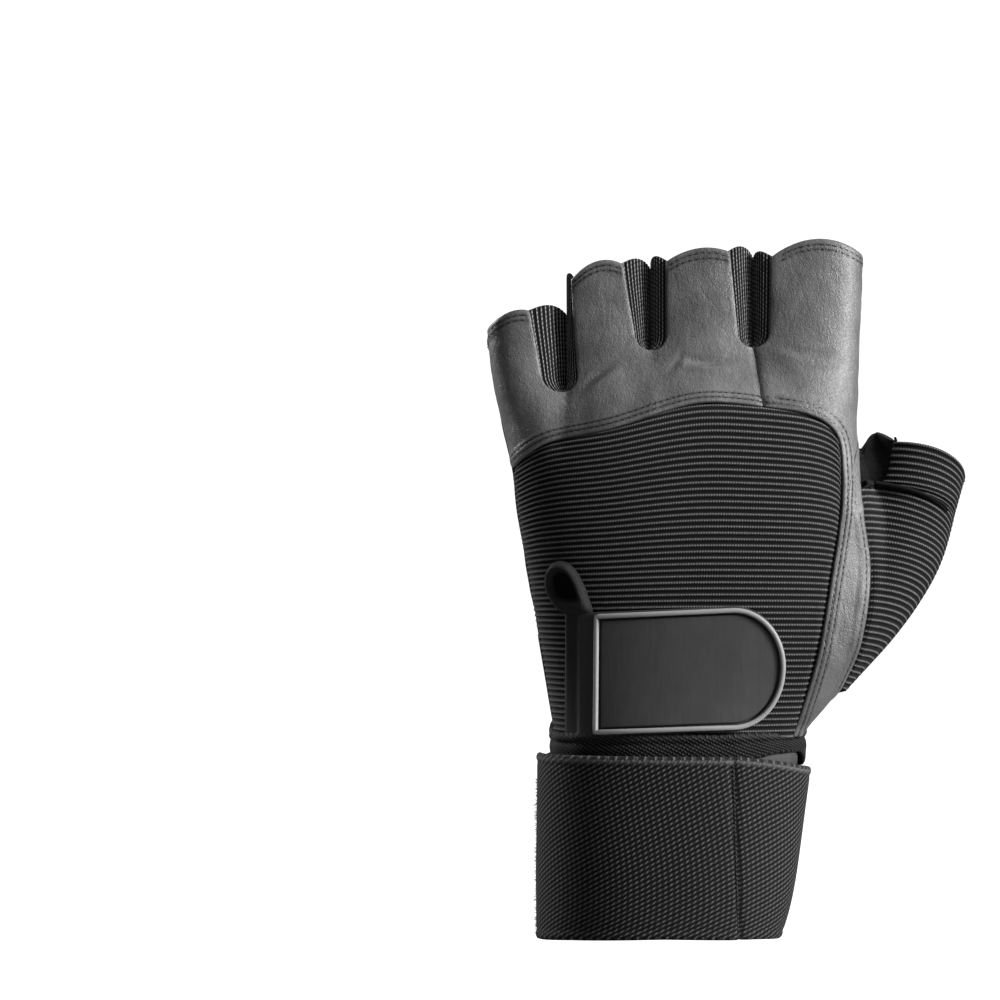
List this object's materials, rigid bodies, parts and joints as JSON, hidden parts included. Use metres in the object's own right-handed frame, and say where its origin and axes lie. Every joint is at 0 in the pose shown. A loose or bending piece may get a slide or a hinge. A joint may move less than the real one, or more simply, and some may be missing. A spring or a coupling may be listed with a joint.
{
  "type": "weightlifting glove",
  "caption": "half-finger weightlifting glove for the left hand: leather and ribbed stretch back, suede palm, wound elastic wrist wrap, strap with a blank plate and pull loop",
  "frame": {"origin": "middle of the wrist opening, level with the lower edge of the wrist wrap", "axes": "+Z points to the fingertips, -Y is the back of the hand, +X is the thumb side"},
  "size_m": [0.1442, 0.056, 0.2089],
  "materials": {
    "back_leather": "mid grey soft leather with a fine grain",
    "palm_leather": "dark grey soft leather",
    "ribbed_stretch": "black stretch cloth with fine grey ribs",
    "suede": "near black suede with pale flecks",
    "elastic_webbing": "black elastic with a diagonal twill",
    "facing_cloth": "smooth dark grey facing",
    "hook_tape": "fuzzy dark hook tape",
    "strap_webbing": "black strap cloth",
    "strap_plate": "dark grey satin plate",
    "strap_piping": "light grey raised edging"
  },
  "bodies": {
    "root": {"back_knuckle_leather": "back_leather", "back_index_leather": "back_leather", "back_stretch_panel": "ribbed_stretch", "fourchette_little_ring": "ribbed_stretch", "fourchette_ring_middle": "ribbed_stretch", "fourchette_middle_index": "ribbed_stretch", "palm_leather": "palm_leather", "palm_suede": "suede", "heel_leather": "palm_leather", "thumb_palm_leather": "palm_leather", "thumb_back_stretch": "ribbed_stretch", "web_suede": "suede", "cuff_band": "elastic_webbing", "cuff_facing": "facing_cloth", "wrist_wrap": "elastic_webbing", "wrap_hook_patch": "hook_tape", "strap_base": "strap_webbing", "strap_plate": "strap_plate", "strap_piping": "strap_piping", "pull_loop": "strap_webbing"}
  },
  "joints": []
}
